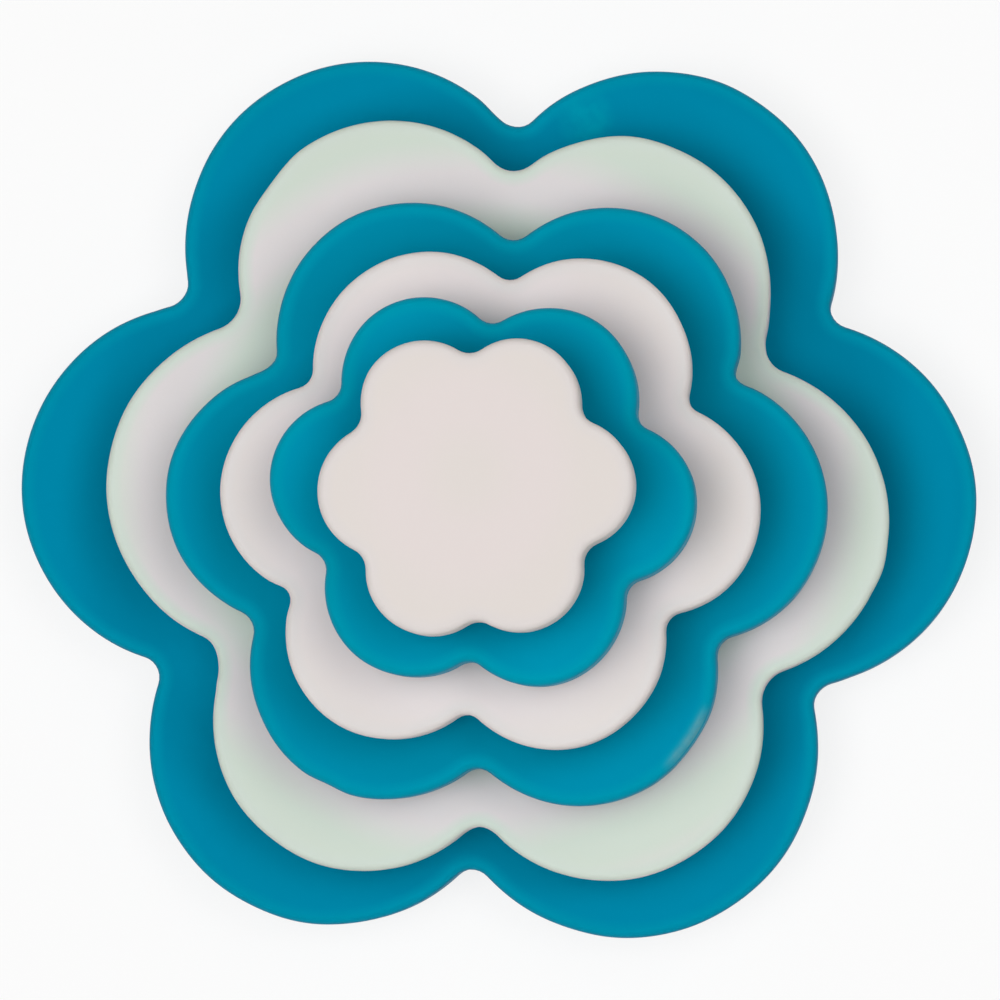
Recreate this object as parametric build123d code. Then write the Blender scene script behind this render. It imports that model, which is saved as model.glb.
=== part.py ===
from build123d import *
import os
from math import cos, pi, radians, sin, sqrt

# Set of six flower plunger cutters, stacked from the largest to the smallest.
# Each cutter is a press cap over a cutting ring, with an ejector plate inside
# the ring and a flat conical spring between the ring's deck and the cap.
# Millimetres, +Z up, origin on the cutting-edge plane at the largest cutter's centre.

# Width over two opposite petals, largest cutter first
width_1 = 120.0
width_2 = 99.7
width_3 = 80.7
width_4 = 65.1
width_5 = 50.1
width_6 = 37.5

# Radius of the notch between two petals
notch_radius_1 = 2.7
notch_radius_2 = 4.0
notch_radius_3 = 2.6
notch_radius_4 = 2.3
notch_radius_5 = 2.3
notch_radius_6 = 2.6

# The petals of each cutter aren't quite alike: how far each one reaches from the
# middle and how large its round is, as shares of half the width, and where it points
reach_shares = (
    (1.009, 0.999, 0.987, 1.006, 1.005, 0.993),
    (0.985, 0.997, 1.019, 0.978, 1.012, 1.011),
    (1.011, 1.008, 0.980, 1.010, 1.009, 0.984),
    (1.011, 1.009, 0.977, 1.007, 1.011, 0.983),
    (1.025, 0.980, 0.998, 1.016, 0.991, 0.994),
    (1.014, 0.997, 1.010, 0.988, 1.007, 0.989),
)
round_shares = (
    (0.385, 0.382, 0.389, 0.382, 0.386, 0.401),
    (0.398, 0.383, 0.380, 0.418, 0.377, 0.387),
    (0.406, 0.403, 0.415, 0.388, 0.409, 0.420),
    (0.396, 0.411, 0.429, 0.398, 0.398, 0.415),
    (0.387, 0.426, 0.400, 0.394, 0.424, 0.420),
    (0.404, 0.396, 0.400, 0.424, 0.406, 0.406),
)
petal_angles_deg = (
    (1.7, 59.7, 119.8, 180.4, 238.8, 300.4),
    (-1.7, 63.0, 117.3, 178.3, 241.5, 299.5),
    (1.2, 58.3, 119.9, 180.7, 238.3, 299.7),
    (-0.5, 57.7, 117.5, 179.6, 236.4, 297.8),
    (-1.9, 57.3, 120.2, 177.4, 237.6, 300.1),
    (4.4, 65.5, 123.8, 185.0, 245.5, 301.3),
)

# How far each cutter is shifted on the stack by hand, as shares of half its width
shift_x_shares = (0.0, 0.012, 0.034, 0.039, 0.043, 0.044)
shift_y_shares = (0.0, -0.023, -0.040, -0.053, -0.050, -0.062)

# Height of one cutter with its cap up, which is the step from one top to the next
cutter_height = 12.25

# Press cap
cap_thickness = 1.2
skirt_wall = 1.2
cap_round = 0.9
skirt_edge_round = 0.25
skirt_floor_gap = 0.9      # left under the skirt when the cap is pressed down
plug_radius = 1.5
plug_lead = 0.3

# Cutting ring
slide_gap = 0.3            # between skirt and ring
ring_wall = 1.0
cutting_edge = 0.45
bevel_height = 2.2
deck_thickness = 1.0
collar_wall = 1.0
cup_wall = 0.8
cup_height = 0.6

# Ejector plate and its post
ejector_edge_gap = 0.25    # left over the cutting edge when pressed down
ejector_thickness = 1.0
ejector_gap = 0.4          # between ejector plate and ring
post_radius = 2.4
post_running_gap = 0.1
plug_fit_gap = 0.05
socket_end_gap = 0.3
socket_floor = 1.1         # solid post between the plate and the socket

# Return spring
wire_diameter = 0.7
spring_turns = 3.5
spring_foot_radius = 8.4   # middle of the wire, on the deck
spring_head_radius = 4.4   # middle of the wire, under the cap
spring_end_gap = 0.05
spring_cup_gap = 0.3
stop_gap = 0.05            # between rim and cap when pressed down

# Travel: the height that the plates and the flat spring leave, half of it under
# the ejector plate and half of it over the spring
spring_flat_height = wire_diameter + 2 * spring_end_gap
plates_height = cap_thickness + deck_thickness + ejector_thickness + ejector_edge_gap
press_travel = (cutter_height - plates_height - spring_flat_height) / 2

# Heights over the cutting edge, with the cap up
ejector_bottom = press_travel + ejector_edge_gap
deck_bottom = ejector_bottom + ejector_thickness
deck_top = deck_bottom + deck_thickness
rim_top = deck_top + spring_flat_height - stop_gap
cap_bottom = cutter_height - cap_thickness
skirt_bottom = press_travel + skirt_floor_gap
socket_bottom = deck_bottom + socket_floor
plug_bottom = socket_bottom + socket_end_gap

# Insets from the cap's outline
ring_inset = skirt_wall + slide_gap
hollow_inset = ring_inset + ring_wall
ejector_inset = hollow_inset + ejector_gap
edge_inset = hollow_inset - cutting_edge

widths = (width_1, width_2, width_3, width_4, width_5, width_6)
notch_radii = (
    notch_radius_1,
    notch_radius_2,
    notch_radius_3,
    notch_radius_4,
    notch_radius_5,
    notch_radius_6,
)


def polar(radius, angle):
    """Point in the XY plane at a radius and an angle in degrees."""
    return Vector(radius * cos(radians(angle)), radius * sin(radians(angle)), 0)


def flower(index, inset, height):
    """Face of one cutter's flower outline, moved inwards by inset, at a height."""
    half_width = widths[index] / 2
    notch_radius = notch_radii[index] + inset
    table = zip(reach_shares[index], round_shares[index], petal_angles_deg[index])
    centres = []
    radii = []
    for reach_share, round_share, angle in table:
        centres.append(polar(half_width * (reach_share - round_share), angle))
        radii.append(half_width * round_share - inset)
    petals = range(len(centres))
    notches = []
    innermost = []
    for petal in petals:
        step = centres[petal - 1] - centres[petal]
        inwards = step.cross(Vector(0, 0, 1)).normalized()
        near = radii[petal] + notch_radius
        far = radii[petal - 1] + notch_radius
        along = (step.length**2 + near**2 - far**2) / (2 * step.length)
        reach = sqrt(near**2 - along**2)
        notch = centres[petal] + step.normalized() * along - inwards * reach
        notches.append(notch)
        innermost.append(notch + inwards * notch_radius)
    edges = []
    for petal in petals:
        centre = centres[petal]
        before = notches[petal]
        after = notches[(petal + 1) % len(notches)]
        corner = centres[petal - 1] + (before - centres[petal - 1]).normalized() * radii[petal - 1]
        start = centre + (before - centre).normalized() * radii[petal]
        tip = centre + centre.normalized() * radii[petal]
        end = centre + (after - centre).normalized() * radii[petal]
        edges.append(Edge.make_three_point_arc(corner, innermost[petal], start))
        edges.append(Edge.make_three_point_arc(start, tip, end))
    return Pos(0, 0, height) * Face(Wire(edges))


def flower_slab(index, inset, low, high):
    """Solid of one cutter's flower outline between two heights."""
    return extrude(flower(index, inset, low), amount=high - low, dir=(0, 0, 1))


def disc(radius, low, high):
    """Upright round solid on the cutter's axis between two heights."""
    return Pos(0, 0, low) * extrude(Circle(radius), amount=high - low, dir=(0, 0, 1))


def press_cap(index):
    """Cap with its skirt outside the ring and a plug that holds the ejector's post."""
    shell = flower_slab(index, 0, skirt_bottom, cutter_height)
    shell = fillet(shell.edges().group_by(Axis.Z)[-1], cap_round)
    shell = fillet(shell.edges().group_by(Axis.Z)[0], skirt_edge_round)
    shell -= flower_slab(index, skirt_wall, skirt_bottom, cap_bottom)
    plug = disc(plug_radius, plug_bottom, cap_bottom)
    plug = chamfer(plug.edges().group_by(Axis.Z)[0], plug_lead)
    return shell + plug


def cutter_ring(index):
    """Cutting wall with a bevelled edge, and the deck that guides the post."""
    bevel = loft(
        [flower(index, edge_inset, 0), flower(index, ring_inset, bevel_height)],
        ruled=True,
    )
    wall = bevel + flower_slab(index, ring_inset, bevel_height, rim_top)
    wall -= flower_slab(index, hollow_inset, 0, deck_bottom)
    wall -= flower_slab(index, hollow_inset, deck_top, rim_top)
    bore_radius = post_radius + post_running_gap
    cup_radius = spring_foot_radius + wire_diameter / 2 + spring_cup_gap
    cup = disc(cup_radius + cup_wall, deck_top, deck_top + cup_height)
    cup -= disc(cup_radius, deck_top, deck_top + cup_height)
    wall += cup
    wall += disc(bore_radius + collar_wall, deck_top, rim_top)
    return wall - disc(bore_radius, deck_bottom, rim_top)


def ejector_plate(index):
    """Flower plate that pushes the dough out, with the post that carries it."""
    plate = flower_slab(index, ejector_inset, ejector_bottom, deck_bottom)
    plate += disc(post_radius, deck_bottom, cap_bottom)
    return plate - disc(plug_radius + plug_fit_gap, socket_bottom, cap_bottom)


def spring_point(quarter, quarters):
    """Point on the spring's wire, counted in quarter turns from its foot."""
    share = quarter / quarters
    climb_share = min(max((quarter - 1) / (quarters - 2), 0), 1)
    radius = spring_foot_radius + (spring_head_radius - spring_foot_radius) * share
    low = deck_top + spring_end_gap + wire_diameter / 2
    high = cap_bottom - spring_end_gap - wire_diameter / 2
    point = polar(radius, quarter * 90)
    return point + Vector(0, 0, low + (high - low) * climb_share)


def biarc(start, start_way, end, end_way):
    """Two arcs that leave start and reach end along the given directions."""
    run = end - start
    both = start_way + end_way
    twist = 2 * (1 - start_way.dot(end_way))
    along = run.dot(both)
    reach = (sqrt(along**2 + twist * run.dot(run)) - along) / twist
    start_control = start + start_way * reach
    end_control = end - end_way * reach
    middle = (start_control + end_control) * 0.5
    middle_way = (end_control - start_control).normalized()
    first = Edge.make_tangent_arc(start, start_way, middle)
    second = Edge.make_tangent_arc(middle, middle_way, end)
    return [first, second]


def return_spring():
    """Conical coil that lies flat when the cap is pressed; its end turns lie flat."""
    quarters = round(spring_turns * 4)
    nodes = [spring_point(q, quarters) for q in range(quarters + 1)]
    ways = []
    for q in range(quarters + 1):
        ahead = spring_point(q + 0.5, quarters)
        behind = spring_point(q - 0.5, quarters)
        ways.append((ahead - behind).normalized())
    edges = []
    for q in range(quarters):
        edges += biarc(nodes[q], ways[q], nodes[q + 1], ways[q + 1])
    path = Wire(edges)
    section = Plane(origin=nodes[0], z_dir=ways[0]) * Circle(wire_diameter / 2)
    coil = sweep(section, path=path)
    wanted = pi * wire_diameter**2 / 4 * path.length
    print("spring volume over section times length", round(coil.volume / wanted, 4))
    print("spring least gap to itself", round(spring_gap(quarters), 3))
    return coil


def spring_gap(quarters):
    """Least gap between one turn of the wire and any later turn."""
    steps_per_quarter = 8
    steps = quarters * steps_per_quarter
    points = [spring_point(i / steps_per_quarter, quarters) for i in range(steps + 1)]
    least = min(
        (points[j] - points[i]).length
        for i in range(steps + 1)
        for j in range(i + 2 * steps_per_quarter, steps + 1)
    )
    return least - wire_diameter


os.makedirs("parts", exist_ok=True)
spring = return_spring()
footprint_middle = flower(0, 0, 0).bounding_box().center()
for index, width in enumerate(widths):
    shift = Vector(width / 2 * shift_x_shares[index], width / 2 * shift_y_shares[index], 0)
    place = Location(shift - footprint_middle + Vector(0, 0, index * cutter_height))
    number = index + 1
    export_step(place * cutter_ring(index), f"parts/cutter_ring_{number}.step")
    export_step(place * spring, f"parts/return_spring_{number}.step")
    export_step(place * ejector_plate(index), f"parts/ejector_plate_{number}.step")
    export_step(place * press_cap(index), f"parts/press_cap_{number}.step")
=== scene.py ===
from math import atan2, cos, pi, radians, sin, sqrt

import bmesh
import bpy
from mathutils import Matrix, Vector, noise


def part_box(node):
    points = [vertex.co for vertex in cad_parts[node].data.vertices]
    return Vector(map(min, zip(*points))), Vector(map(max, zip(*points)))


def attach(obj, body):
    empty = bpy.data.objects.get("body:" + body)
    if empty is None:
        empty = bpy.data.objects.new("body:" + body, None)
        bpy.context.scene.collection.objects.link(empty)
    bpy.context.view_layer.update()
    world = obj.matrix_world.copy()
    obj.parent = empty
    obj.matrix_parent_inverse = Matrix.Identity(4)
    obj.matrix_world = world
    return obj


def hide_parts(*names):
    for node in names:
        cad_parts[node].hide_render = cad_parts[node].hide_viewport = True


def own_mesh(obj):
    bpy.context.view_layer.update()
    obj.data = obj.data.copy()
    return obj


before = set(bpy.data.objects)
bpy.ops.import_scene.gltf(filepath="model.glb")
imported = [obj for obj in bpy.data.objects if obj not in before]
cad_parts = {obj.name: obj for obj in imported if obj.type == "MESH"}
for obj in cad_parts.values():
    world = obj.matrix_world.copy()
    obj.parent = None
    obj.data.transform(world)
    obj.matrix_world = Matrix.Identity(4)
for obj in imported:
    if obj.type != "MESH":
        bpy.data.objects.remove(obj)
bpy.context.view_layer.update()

# Camera. The stack is seen from almost straight above, through a long lens held
# a little beyond the lower right petals, so a sliver of each wall shows there.
camera_place = Vector((0.05271, -0.03469, 0.91007))
camera_aim = Vector((0.00044, -0.00031, 0.01225))
camera_roll = radians(2.70)
camera_lens_mm = 256.8
camera_sensor_mm = 36

camera_data = bpy.data.cameras.new("camera")
camera_data.lens = camera_lens_mm
camera_data.sensor_width = camera_sensor_mm
camera = bpy.data.objects.new("camera", camera_data)
bpy.context.scene.collection.objects.link(camera)
forward = (camera_aim - camera_place).normalized()
level = Vector((cos(camera_roll), sin(camera_roll), 0))
right = (level - forward * level.dot(forward)).normalized()
above = right.cross(forward)
camera_turn = Matrix((right, above, -forward)).transposed().to_4x4()
camera.matrix_world = Matrix.Translation(camera_place) @ camera_turn
bpy.context.scene.camera = camera

# Cutting rings. Each is one injection moulding in polypropylene: a flower wall about
# 1 mm thick, bevelled outside to a blunt cutting edge, with a deck across its top that
# guides the ejector's post and seats the spring. It is the lowest piece of its cutter.
cutter_numbers = (1, 2, 3, 4, 5, 6)  # from the largest, at the bottom, up
plastic_hexes = {  # cutter: troughs and crests of its flow rings, and the painted light on its thin rounded rim
    1: ("007E9F", "0085A7", "008DA9"),
    2: ("D3DDD0", "E1DAD9", "D3DDD2"),
    3: ("0084A2", "008BAB", "0092AC"),
    4: ("E5DCD8", "EADFDD", "E3DCD9"),
    5: ("0087A6", "008FAE", "0095AE"),
    6: ("E2DAD5", "E4DAD7", "E0D9D6"),
}
blue_sheen_hex = "00A0C8"  # the dye also tints what the clear skin reflects
white_sheen_hex = "FFFFFF"
plastic_ior = 1.49
plastic_specular = 0.15  # the eroded grain scatters most of it
plastic_roughness = 0.57
plastic_roughness_change = 0.05
flow_ring_m = 0.016
flow_waver = 2.5  # how far the rings wander, in radians of a ring
flow_waver_m = 0.02
flow_plain_share = 0.1  # of the wave, plain at its troughs and at its crests
wave_radians_per_metre = 20  # what Blender's wave turns at scale 1
grain_size_m = 0.00035  # a real eroded mould is finer, drawn as coarse as it needs to show
grain_height_m = 0.00004
grain_strength = 0.22
noise_span = (0.3, 0.7)  # holds nearly all of a noise's values
scuffs_and_glints = {  # cutter: a rubbed place's colour, middle, radius, strength and hold to the rim; on cutter 3 it is also a painted highlight
    1: ("00A0B4", (0.0090, 0.0483, 0), 0.0044, 0.45, 0),
    # Worn on the rounded edge, and partly a painted highlight where that edge catches the light.
    3: ("5C9AA5", (0.0268, -0.0296, 0), 0.0054, 0.80, 4),
}
scuff_glint_core_share = 1 / 3  # of its radius, at full strength
scuff_glint_least_share = 1 / 3  # of its strength, left between its patches
scuff_glint_patch_m = 0.002
scuff_glint_patch_span = (0.3, 0.6)
mix_share, mix_under, mix_over, mixed_colour = 0, 6, 7, 2  # a colour mix's sockets


def linear(hex_colour):
    """sRGB hex colour as linear red, green, blue and full alpha."""
    shares = [int(hex_colour[i : i + 2], 16) / 255 for i in (0, 2, 4)]
    return [s / 12.92 if s <= 0.04045 else ((s + 0.055) / 1.055) ** 2.4 for s in shares] + [1]


def add_node(owner, kind, settings=None, links=None):
    """Adds one shader node with its properties, input values and links."""
    node = owner.node_tree.nodes.new(kind)
    for name, value in (settings or {}).items():
        if isinstance(name, str) and hasattr(node, name):
            setattr(node, name, value)
        else:
            node.inputs[name].default_value = value
    for name, socket in (links or {}).items():
        owner.node_tree.links.new(socket, node.inputs[name])
    return node


def link_surface(material, colour, roughness, bump):
    """Links a colour, a roughness and a bump to a material's shader."""
    shader = material.node_tree.nodes["Principled BSDF"]
    for socket, name in ((colour, "Base Color"), (roughness, "Roughness"), (bump, "Normal")):
        material.node_tree.links.new(socket, shader.inputs[name])


def scuffed_and_glinting(material, number, place, rim, colour):
    """Lays a cutter's rubbed place over a colour, patchy and held to the rim by a power; on cutter 3
    it is partly a painted highlight.
    """
    rubbed_glint_hex, middle, radius, strength, rim_hold = scuffs_and_glints[number]
    flat_place = add_node(
        material, "ShaderNodeVectorMath", {"operation": "MULTIPLY", 1: (1, 1, 0)}, {0: place}
    ).outputs["Vector"]
    away = add_node(
        material, "ShaderNodeVectorMath", {"operation": "DISTANCE", 1: middle}, {0: flat_place}
    ).outputs["Value"]
    near = add_node(
        material,
        "ShaderNodeMapRange",
        {
            "interpolation_type": "SMOOTHSTEP",
            "From Min": radius,
            "From Max": radius * scuff_glint_core_share,
        },
        {"Value": away},
    ).outputs["Result"]
    on_rim = add_node(
        material, "ShaderNodeMath", {"operation": "POWER", 1: rim_hold}, {0: rim}
    ).outputs["Value"]
    there = add_node(
        material, "ShaderNodeMath", {"operation": "MULTIPLY"}, {0: near, 1: on_rim}
    ).outputs["Value"]
    patches = add_node(
        material,
        "ShaderNodeTexNoise",
        {"Scale": 1 / scuff_glint_patch_m, "Detail": 4.0, "Roughness": 0.6},
        {"Vector": place},
    ).outputs["Fac"]
    patchy = add_node(
        material,
        "ShaderNodeMapRange",
        {
            "From Min": scuff_glint_patch_span[0],
            "From Max": scuff_glint_patch_span[1],
            "To Min": strength * scuff_glint_least_share,
            "To Max": strength,
        },
        {"Value": patches},
    ).outputs["Result"]
    rubbed_glint_share = add_node(
        material, "ShaderNodeMath", {"operation": "MULTIPLY"}, {0: there, 1: patchy}
    ).outputs["Value"]
    return add_node(
        material,
        "ShaderNodeMix",
        {"data_type": "RGBA", mix_over: linear(rubbed_glint_hex)},
        {mix_share: rubbed_glint_share, mix_under: colour},
    ).outputs[mixed_colour]


def is_blue(number):
    """Blue and white take turns, from the largest cutter's blue up."""
    return number % 2 == 1


def moulded_polypropylene(number):
    """Satin moulded plastic with faint rings where the melt flowed out from the gate."""
    trough_hex, crest_hex, painted_rim_light_hex = plastic_hexes[number]
    sheen_hex = blue_sheen_hex if is_blue(number) else white_sheen_hex
    dye = "blue" if is_blue(number) else "white"
    material = bpy.data.materials.new(f"{dye}_satin_polypropylene_{number}")
    material.use_nodes = True
    shader = material.node_tree.nodes["Principled BSDF"]
    shader.inputs["IOR"].default_value = plastic_ior
    shader.inputs["Specular IOR Level"].default_value = plastic_specular
    shader.inputs["Specular Tint"].default_value = linear(sheen_hex)
    place = add_node(material, "ShaderNodeTexCoord").outputs["Object"]
    flow_rings = add_node(
        material,
        "ShaderNodeTexWave",
        {
            "wave_type": "RINGS",
            "rings_direction": "Z",
            "Scale": 2 * pi / wave_radians_per_metre / flow_ring_m,
            "Distortion": flow_waver,
            "Detail": 2.0,
            "Detail Scale": flow_ring_m / flow_waver_m,
        },
        {"Vector": place},
    ).outputs["Fac"]
    flow_colours = add_node(material, "ShaderNodeValToRGB", {}, {"Fac": flow_rings})
    trough, crest = flow_colours.color_ramp.elements
    trough.position = flow_plain_share
    trough.color = linear(trough_hex)
    crest.position = 1 - flow_plain_share
    crest.color = linear(crest_hex)
    rim = add_node(material, "ShaderNodeAttribute", {"attribute_name": "rim"}).outputs["Fac"]
    # Painted edge light: the rounded rim takes its own colour, lighter on the blue cutters and a
    # little darker on the white ones, as light falls there.
    colour = add_node(
        material,
        "ShaderNodeMix",
        {"data_type": "RGBA", mix_over: linear(painted_rim_light_hex)},
        {mix_share: rim, mix_under: flow_colours.outputs["Color"]},
    ).outputs[mixed_colour]
    if number in scuffs_and_glints:
        colour = scuffed_and_glinting(material, number, place, rim, colour)
    grain = add_node(
        material,
        "ShaderNodeTexNoise",
        {"Scale": 1 / grain_size_m, "Detail": 2.0, "Roughness": 0.6},
        {"Vector": place},
    ).outputs["Fac"]
    roughness = add_node(
        material,
        "ShaderNodeMapRange",
        {
            "From Min": noise_span[0],
            "From Max": noise_span[1],
            "To Min": plastic_roughness - plastic_roughness_change,
            "To Max": plastic_roughness + plastic_roughness_change,
        },
        {"Value": grain},
    ).outputs["Result"]
    bump = add_node(
        material,
        "ShaderNodeBump",
        {"Strength": grain_strength, "Distance": grain_height_m},
        {"Height": grain},
    ).outputs["Normal"]
    link_surface(material, colour, roughness, bump)
    return material


plastics = {number: moulded_polypropylene(number) for number in cutter_numbers}
for number in cutter_numbers:
    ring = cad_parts[f"cutter_ring_{number}"]
    ring.data.materials.clear()
    ring.data.materials.append(plastics[number])

# Return springs. Each is wound from 0.7 mm spring steel wire into a cone that lies
# nearly flat when pressed, so the low cutter has room for its dough. The foot
# lies in the deck's cup and the head turn bears on the cap.
wire_radius = 0.00035
wire_resolution = 5  # gives the wire 14 sides
wire_end_round = 0.00008
wire_end_segments = 2
wire_weld_share = 0.01  # of the wire's radius, how near doubled points lie
spring_turns = 3.5
spring_foot_radius = 0.0084
spring_head_radius = 0.0044
spring_sharp_deg = 50
end_turns = 0.25  # flat at each end
steps_per_turn = 48

# Drawn spring steel: a grey metal sheen, a little duller in the small patches that
# the drawing die leaves on the wire.
bright_steel_hex = "C9C8C6"
dull_steel_hex = "A9A8A8"
steel_roughness_span = (0.22, 0.38)
die_mark_size_m = 0.0004
die_mark_height_m = 0.00001
die_mark_strength = 0.3
die_mark_span = (0.35, 0.65)
spring_steel = bpy.data.materials.new("drawn_spring_steel")
spring_steel.use_nodes = True
spring_steel.node_tree.nodes["Principled BSDF"].inputs["Metallic"].default_value = 1.0
die_marks = add_node(
    spring_steel,
    "ShaderNodeTexNoise",
    {"Scale": 1 / die_mark_size_m, "Detail": 3.0},
    {"Vector": add_node(spring_steel, "ShaderNodeTexCoord").outputs["Object"]},
).outputs["Fac"]
steel_colours = add_node(spring_steel, "ShaderNodeValToRGB", {}, {"Fac": die_marks})
bright, dull = steel_colours.color_ramp.elements
bright.position, dull.position = die_mark_span
bright.color = linear(bright_steel_hex)
dull.color = linear(dull_steel_hex)
steel_roughness = add_node(
    spring_steel,
    "ShaderNodeMapRange",
    {
        "From Min": noise_span[0],
        "From Max": noise_span[1],
        "To Min": steel_roughness_span[0],
        "To Max": steel_roughness_span[1],
    },
    {"Value": die_marks},
).outputs["Result"]
steel_bump = add_node(
    spring_steel,
    "ShaderNodeBump",
    {"Strength": die_mark_strength, "Distance": die_mark_height_m},
    {"Height": die_marks},
).outputs["Normal"]
link_surface(spring_steel, steel_colours.outputs["Color"], steel_roughness, steel_bump)


def guide_axis(number):
    """Middle of the collar round the post in one ring's deck."""
    low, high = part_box(f"cutter_ring_{number}")
    middle = (Vector(low) + Vector(high)) / 2
    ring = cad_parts[f"cutter_ring_{number}"]
    collar_reach = 0.006  # past the collar, short of the spring's cup
    collar = [v.co for v in ring.data.vertices if (v.co - middle).xy.length < collar_reach]
    ends = [(min(co[i] for co in collar) + max(co[i] for co in collar)) / 2 for i in (0, 1)]
    return Vector((ends[0], ends[1], 0))


def round_off(shape, edges, offset, segments):
    """Rounds edges of a bmesh, or chamfers them with one segment."""
    bmesh.ops.bevel(
        shape,
        geom=edges,
        offset=offset,
        affect="EDGES",
        segments=segments,
        profile=0.5,
        material=-1,
    )


def finished(shape, name, material, sharp_deg):
    """Makes a bmesh a smooth-shaded object, sharp only past an angle."""
    for face in shape.faces:
        face.smooth = True
    mesh = bpy.data.meshes.new(name)
    shape.to_mesh(mesh)
    shape.free()
    mesh.set_sharp_from_angle(angle=radians(sharp_deg))
    mesh.materials.append(material)
    piece = bpy.data.objects.new(name, mesh)
    bpy.context.scene.collection.objects.link(piece)
    return piece


def wind_wire(line, axis, low_height, high_height):
    """Lays a line's points along the cone, with a flat part turn at each end."""
    points = round(spring_turns * steps_per_turn)
    line.points.add(points)
    for i in range(points + 1):
        turns = i / steps_per_turn
        radius = spring_foot_radius + (spring_head_radius - spring_foot_radius) * turns / spring_turns
        climb = min(max((turns - end_turns) / (spring_turns - 2 * end_turns), 0), 1)
        height = low_height + wire_radius + (high_height - low_height - 2 * wire_radius) * climb
        turned = Vector((cos(2 * pi * turns), sin(2 * pi * turns), 0)) * radius
        line.points[i].co = (*(axis + turned).xy, height, 1)


for number in cutter_numbers:
    low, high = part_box(f"return_spring_{number}")
    axis = guide_axis(number)
    path = bpy.data.curves.new("coil_path", "CURVE")
    path.dimensions = "3D"
    path.bevel_depth = wire_radius
    path.bevel_resolution = wire_resolution
    wind_wire(path.splines.new("POLY"), axis, low[2], high[2])
    wound = bpy.data.objects.new("coil_path", path)
    shape = bmesh.new()
    shape.from_mesh(bpy.data.meshes.new_from_object(wound))
    bpy.data.objects.remove(wound)
    bmesh.ops.remove_doubles(shape, verts=shape.verts, dist=wire_radius * wire_weld_share)
    cut_ends = [edge for edge in shape.edges if edge.is_boundary]
    bmesh.ops.holes_fill(shape, edges=cut_ends, sides=0)
    round_off(shape, cut_ends, wire_end_round, wire_end_segments)
    bmesh.ops.recalc_face_normals(shape, faces=shape.faces)
    coil = finished(shape, f"return_spring_{number}_coil", spring_steel, spring_sharp_deg)
    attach(coil, f"cutter_{number}")
    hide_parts(f"return_spring_{number}")
    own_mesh(coil)

# Ejector plates. Flat polypropylene flowers that nearly fill the ring, each on a
# post that slides in the deck's bore. They push the cut dough out.
for number in cutter_numbers:
    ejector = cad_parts[f"ejector_plate_{number}"]
    ejector.data.materials.clear()
    ejector.data.materials.append(plastics[number])

# Press caps. Each is a polypropylene moulding with 1.2 mm walls: a flat flower top
# with a rounded edge, a skirt that slides outside the cutting ring, and a plug
# underneath that is pressed into the ejector's post. Its rim was trimmed by hand.
widths = (0.1200, 0.0997, 0.0807, 0.0651, 0.0501, 0.0375)
notch_radii = (0.0027, 0.0040, 0.0026, 0.0023, 0.0023, 0.0026)
reach_shares = (  # of half the width, how far each petal reaches
    (1.009, 0.999, 0.987, 1.006, 1.005, 0.993),
    (0.985, 0.997, 1.019, 0.978, 1.012, 1.011),
    (1.011, 1.008, 0.980, 1.010, 1.009, 0.984),
    (1.011, 1.009, 0.977, 1.007, 1.011, 0.983),
    (1.025, 0.980, 0.998, 1.016, 0.991, 0.994),
    (1.014, 0.997, 1.010, 0.988, 1.007, 0.989),
)
round_shares = (  # of half the width, each petal's radius
    (0.385, 0.382, 0.389, 0.382, 0.386, 0.401),
    (0.398, 0.383, 0.380, 0.418, 0.377, 0.387),
    (0.406, 0.403, 0.415, 0.388, 0.409, 0.420),
    (0.396, 0.411, 0.429, 0.398, 0.398, 0.415),
    (0.387, 0.426, 0.400, 0.394, 0.424, 0.420),
    (0.404, 0.396, 0.400, 0.424, 0.406, 0.406),
)
petal_angles_deg = (
    (1.7, 59.7, 119.8, 180.4, 238.8, 300.4),
    (-1.7, 63.0, 117.3, 178.3, 241.5, 299.5),
    (1.2, 58.3, 119.9, 180.7, 238.3, 299.7),
    (-0.5, 57.7, 117.5, 179.6, 236.4, 297.8),
    (-1.9, 57.3, 120.2, 177.4, 237.6, 300.1),
    (4.4, 65.5, 123.8, 185.0, 245.5, 301.3),
)
outline_step = 0.0006
least_arc_steps = 6
outline_weld_share = 0.25  # of a step, how near doubled points lie
cap_wall = 0.0012
cap_edge_round = 0.0009
cap_edge_segments = 7
cap_sharp_deg = 40
painted_rim_light_fade = 0.0012  # past the rounded edge, where its painted edge light ends
skirt_edge_round = 0.00025
skirt_edge_segments = 3
plug_radius = 0.0015
plug_sides = 48
plug_length = 0.0044
plug_lead = 0.0003
plug_lead_segments = 1
trim_wave_length = 0.009
trim_wave_depth = 0.00013
trim_wave_seed = 3
trimmed_off = 0.00006  # all round, so the waver keeps inside the CAD solid's box
trim_flaws = (  # cutter, x, y, half length and how far the rim steps out, or in if negative
    (1, -0.0415, 0.0233, 0.0040, 0.00035),
    (1, -0.0027, 0.0485, 0.0030, -0.00030),
    (1, 0.0426, -0.0217, 0.0040, 0.00025),
    (2, 0.0494, -0.0069, 0.0040, 0.00022),
    (2, -0.0332, -0.0230, 0.0040, 0.00045),
    (2, 0.0007, -0.0415, 0.0035, -0.00035),
    (2, 0.0005, 0.0404, 0.0050, -0.00030),
    (2, 0.0332, 0.0208, 0.0045, 0.00030),
    (2, -0.0295, 0.0376, 0.0060, -0.00030),
    (2, 0.0149, 0.0455, 0.0080, 0.00025),
    (3, 0.0299, 0.0155, 0.0030, -0.00045),
    (3, -0.0280, 0.0136, 0.0025, 0.00030),
    (3, 0.0268, -0.0300, 0.0070, -0.00025),
    (3, -0.0177, -0.0372, 0.0035, -0.00025),
    (4, -0.0227, -0.0141, 0.0030, -0.00030),
)


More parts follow.
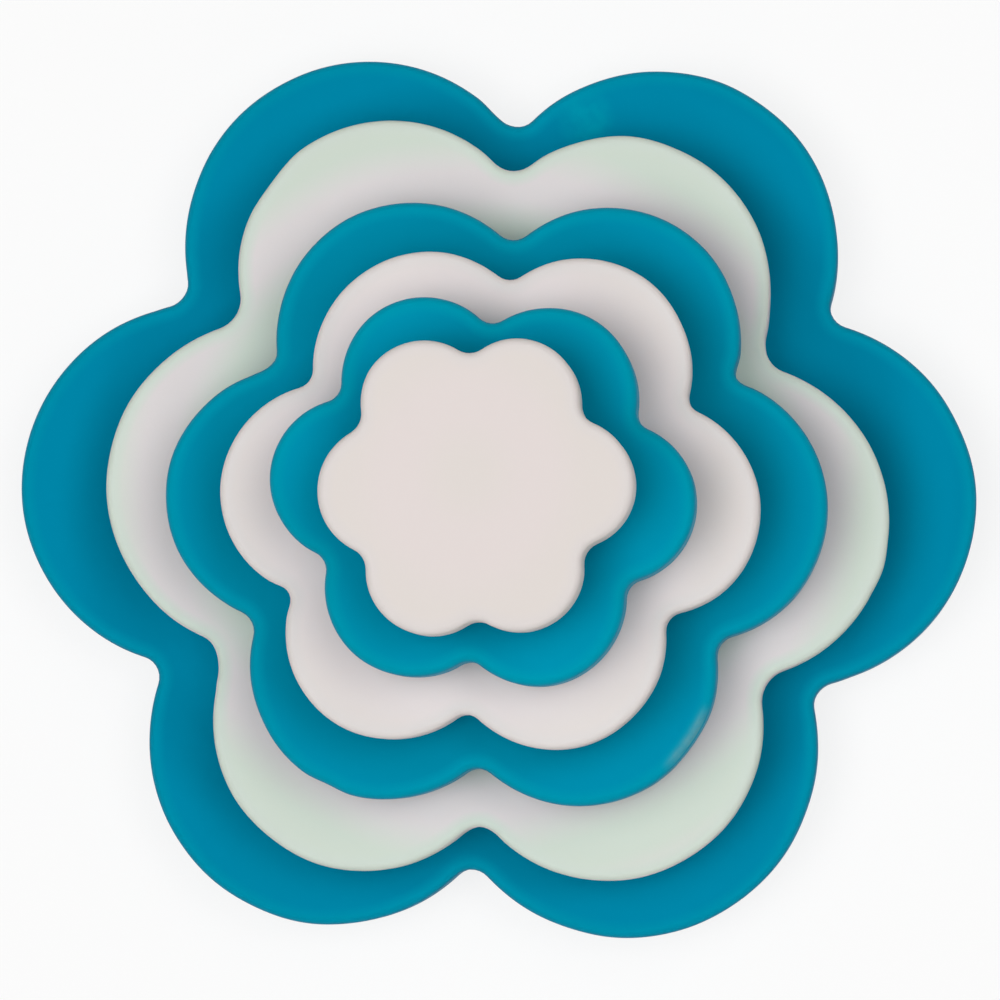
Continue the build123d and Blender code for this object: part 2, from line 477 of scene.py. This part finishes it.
def spin_arc(shape, vertex, centre, angle, radius):
    """Draws an arc from a vertex about a centre and returns the vertex at its end."""
    drawn = bmesh.ops.spin(
        shape,
        geom=[vertex],
        cent=centre,
        axis=(0, 0, 1),
        angle=angle,
        steps=max(least_arc_steps, round(abs(angle) * radius / outline_step)),
        use_merge=False,
    )
    return next(part for part in drawn["geom_last"] if isinstance(part, bmesh.types.BMVert))


def heading(way):
    """Direction of a vector in the XY plane, as an angle."""
    return atan2(way.y, way.x)


def flower_outline(shape, index):
    """Draws one cutter's closed outline: six round petals joined by small notches."""
    half_width = widths[index] / 2
    notch_radius = notch_radii[index]
    petals = zip(reach_shares[index], round_shares[index], petal_angles_deg[index])
    centres = []
    radii = []
    for reach, petal_round, angle in petals:
        distance = half_width * (reach - petal_round)
        centres.append(Vector((cos(radians(angle)), sin(radians(angle)), 0)) * distance)
        radii.append(half_width * petal_round)
    notches = []
    for petal, centre in enumerate(centres):
        step = centres[petal - 1] - centre
        near = radii[petal] + notch_radius
        far = radii[petal - 1] + notch_radius
        along = (step.length**2 + near**2 - far**2) / (2 * step.length)
        outwards = Vector((0, 0, 1)).cross(step).normalized()
        notches.append(centre + step.normalized() * along + outwards * sqrt(near**2 - along**2))
    start = centres[0] + (notches[0] - centres[0]).normalized() * radii[0]
    vertex = shape.verts.new(start)
    for petal, centre in enumerate(centres):
        notch = notches[(petal + 1) % len(notches)]
        next_centre = centres[(petal + 1) % len(centres)]
        turn = (heading(notch - centre) - heading(notches[petal] - centre)) % (2 * pi)
        vertex = spin_arc(shape, vertex, centre, turn, radii[petal])
        back = (heading(next_centre - notch) - heading(centre - notch)) % (2 * pi) - 2 * pi
        vertex = spin_arc(shape, vertex, notch, back, notch_radius)
    bmesh.ops.remove_doubles(shape, verts=shape.verts, dist=outline_step * outline_weld_share)


def trim_by_hand(shape, number, axis):
    """Gives an outline the slight waver and the flaws of a rim trimmed by hand."""
    for vertex in shape.verts:
        wave = noise.noise_vector(vertex.co / trim_wave_length)
        vertex.co += Vector((wave.x, wave.y, 0)) * trim_wave_depth
        outwards = (vertex.co.xy - axis.xy).normalized().to_3d()
        vertex.co -= outwards * trimmed_off
        for cutter, x, y, half_length, step in trim_flaws:
            away = (vertex.co.xy - Vector((x, y))).length
            if cutter == number and away < half_length:
                vertex.co += outwards * step * (1 + cos(pi * away / half_length)) / 2


def draw_shell(shape, height):
    """Draws an outline down into a hollow shell, open below, and returns its top face,
    the edges of the top and those of the skirt's outer end."""
    top = bmesh.ops.contextual_create(shape, geom=shape.edges[:])["faces"][0]
    drawn = bmesh.ops.extrude_face_region(shape, geom=[top])["geom"]
    skirt_end = {part for part in drawn if isinstance(part, bmesh.types.BMVert)}
    bmesh.ops.translate(shape, verts=list(skirt_end), vec=(0, 0, -height))
    open_end = [face for face in shape.faces if skirt_end.issuperset(face.verts)]
    bmesh.ops.delete(shape, geom=open_end, context="FACES_ONLY")
    bmesh.ops.recalc_face_normals(shape, faces=shape.faces)
    top_edges = top.edges[:]
    end_edges = [edge for edge in shape.edges if skirt_end.issuperset(edge.verts)]
    bmesh.ops.solidify(shape, geom=shape.faces[:], thickness=cap_wall)
    return top, top_edges, end_edges


def add_plug(shape, top, axis, ceiling_height):
    """Levels a shell's ceiling, hangs the plug from it and returns the edges of its tip."""
    ceiling = next(face for face in shape.faces if len(face.verts) > 4 and face != top)
    for vertex in ceiling.verts:
        vertex.co.z = ceiling_height
    ceiling_edges = ceiling.edges[:]
    bmesh.ops.delete(shape, geom=[ceiling], context="FACES_ONLY")
    circle = bmesh.ops.create_circle(
        shape,
        segments=plug_sides,
        radius=plug_radius,
        matrix=Matrix.Translation((axis.x, axis.y, ceiling_height)),
    )
    root = set(circle["verts"])
    root_edges = [edge for edge in shape.edges if root.issuperset(edge.verts)]
    bmesh.ops.triangle_fill(
        shape, use_beauty=True, edges=ceiling_edges + root_edges, normal=(0, 0, -1)
    )
    drawn = bmesh.ops.extrude_edge_only(shape, edges=root_edges)["geom"]
    tip = {part for part in drawn if isinstance(part, bmesh.types.BMVert)}
    bmesh.ops.translate(shape, verts=list(tip), vec=(0, 0, -plug_length))
    tip_edges = [edge for edge in shape.edges if tip.issuperset(edge.verts)]
    bmesh.ops.contextual_create(shape, geom=tip_edges)
    bmesh.ops.recalc_face_normals(shape, faces=shape.faces)
    return tip_edges


def mark_rim(shape, top, top_height):
    """Marks the upper half of the rounded edge as rim, fading to none on the top face, for its
    painted edge light.
    """
    rim = shape.verts.layers.float.new("rim")
    for vertex in shape.verts:
        vertex[rim] = float(vertex.co.z > top_height - cap_edge_round / 2)
    for vertex in top.verts:
        vertex[rim] = 0


noise.seed_set(trim_wave_seed)  # without it, each run wavers differently
for number in cutter_numbers:
    low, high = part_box(f"press_cap_{number}")
    axis = guide_axis(number)
    shape = bmesh.new()
    flower_outline(shape, number - 1)
    bmesh.ops.translate(shape, verts=shape.verts, vec=(axis.x, axis.y, high[2]))
    trim_by_hand(shape, number, axis)
    top, top_edges, end_edges = draw_shell(shape, high[2] - low[2])
    tip_edges = add_plug(shape, top, axis, high[2] - cap_wall)
    rim_width = cap_edge_round + painted_rim_light_fade
    bmesh.ops.inset_region(shape, faces=[top], thickness=rim_width, use_even_offset=True)
    round_off(shape, top_edges, cap_edge_round, cap_edge_segments)
    round_off(shape, end_edges, skirt_edge_round, skirt_edge_segments)
    round_off(shape, tip_edges, plug_lead, plug_lead_segments)
    mark_rim(shape, top, high[2])
    cap = finished(shape, f"press_cap_{number}_moulding", plastics[number], cap_sharp_deg)
    even_shading = cap.modifiers.new("even_shading", "WEIGHTED_NORMAL")
    even_shading.keep_sharp = True
    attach(cap, f"plunger_{number}")
    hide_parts(f"press_cap_{number}")

# Table and light. White background paper lies under five round softboxes. Most of
# their light comes from nearly overhead, a little more of it from the left, so the
# steps shade each other softly all round.
table_size = 4.0
lamp_distance = 2.5
lamp_width = 1.45
full_light_watts = 59.8  # lights the table at the level where colours render as written
studio_lamps = (  # heading and height in degrees, share of the full light
    (0, 72, 0.28),
    (45, 63, 0.15),
    (180, 72, 0.31),
    (225, 72, 0.30),
    (290, 35, 0.07),
)
room_light = 0.02

table_mesh = bpy.data.meshes.new("table")
table_shape = bmesh.new()
bmesh.ops.create_grid(table_shape, x_segments=1, y_segments=1, size=table_size / 2)
table_shape.to_mesh(table_mesh)
table_shape.free()
table = bpy.data.objects.new("table", table_mesh)
bpy.context.scene.collection.objects.link(table)


def seen_directly(owner):
    """1 for rays from the camera, reflections and glass, else 0."""
    path = add_node(owner, "ShaderNodeLightPath")
    total = path.outputs["Is Camera Ray"]
    for ray in ("Is Glossy Ray", "Is Transmission Ray"):
        total = add_node(
            owner, "ShaderNodeMath", {"operation": "MAXIMUM"}, {0: total, 1: path.outputs[ray]}
        ).outputs["Value"]
    return total


# Uncoated background paper: plain and matte, so it stays evenly pale with no shine.
paper_hex = "F2F2F1"
paper_roughness = 0.95
paper_specular = 0.1
paper_lift = 0.8  # share of the paper that the camera sees as pure white
white_paper = bpy.data.materials.new("matte_background_paper")
white_paper.use_nodes = True
paper_shader = white_paper.node_tree.nodes["Principled BSDF"]
paper_shader.inputs["Base Color"].default_value = linear(paper_hex)
paper_shader.inputs["Roughness"].default_value = paper_roughness
paper_shader.inputs["Specular IOR Level"].default_value = paper_specular
glow = add_node(white_paper, "ShaderNodeEmission", {"Color": (1, 1, 1, 1), "Strength": 1.0})
lift = add_node(
    white_paper,
    "ShaderNodeMath",
    {"operation": "MULTIPLY", 1: paper_lift},
    {0: seen_directly(white_paper)},
)
lifted = add_node(
    white_paper,
    "ShaderNodeMixShader",
    {},
    {
        "Fac": lift.outputs["Value"],
        1: paper_shader.outputs["BSDF"],
        2: glow.outputs["Emission"],
    },
)
paper_output = white_paper.node_tree.nodes["Material Output"]
white_paper.node_tree.links.new(lifted.outputs["Shader"], paper_output.inputs["Surface"])
table_mesh.materials.append(white_paper)

for azimuth_deg, height_deg, share in studio_lamps:
    lamp_data = bpy.data.lights.new("softbox", "AREA")
    lamp_data.shape = "DISK"
    lamp_data.size = lamp_width
    lamp_data.energy = full_light_watts * share
    lamp = bpy.data.objects.new("softbox", lamp_data)
    bpy.context.scene.collection.objects.link(lamp)
    azimuth = radians(azimuth_deg)
    height = radians(height_deg)
    way = Vector((cos(azimuth) * cos(height), sin(azimuth) * cos(height), sin(height)))
    facing = way.to_track_quat("Z", "Y").to_matrix().to_4x4()
    lamp.matrix_world = Matrix.Translation(way * lamp_distance) @ facing

# The room gives little light, and is white where the camera or a reflection sees it.
world = bpy.data.worlds.new("studio")
bpy.context.scene.world = world
world.use_nodes = True
room = world.node_tree.nodes["Background"]
room.inputs["Color"].default_value = (1, 1, 1, 1)
room_strength = add_node(
    world,
    "ShaderNodeMapRange",
    {"To Min": room_light, "To Max": 1.0},
    {"Value": seen_directly(world)},
)
world.node_tree.links.new(room_strength.outputs["Result"], room.inputs["Strength"])
bpy.context.scene.view_settings.view_transform = "Standard"
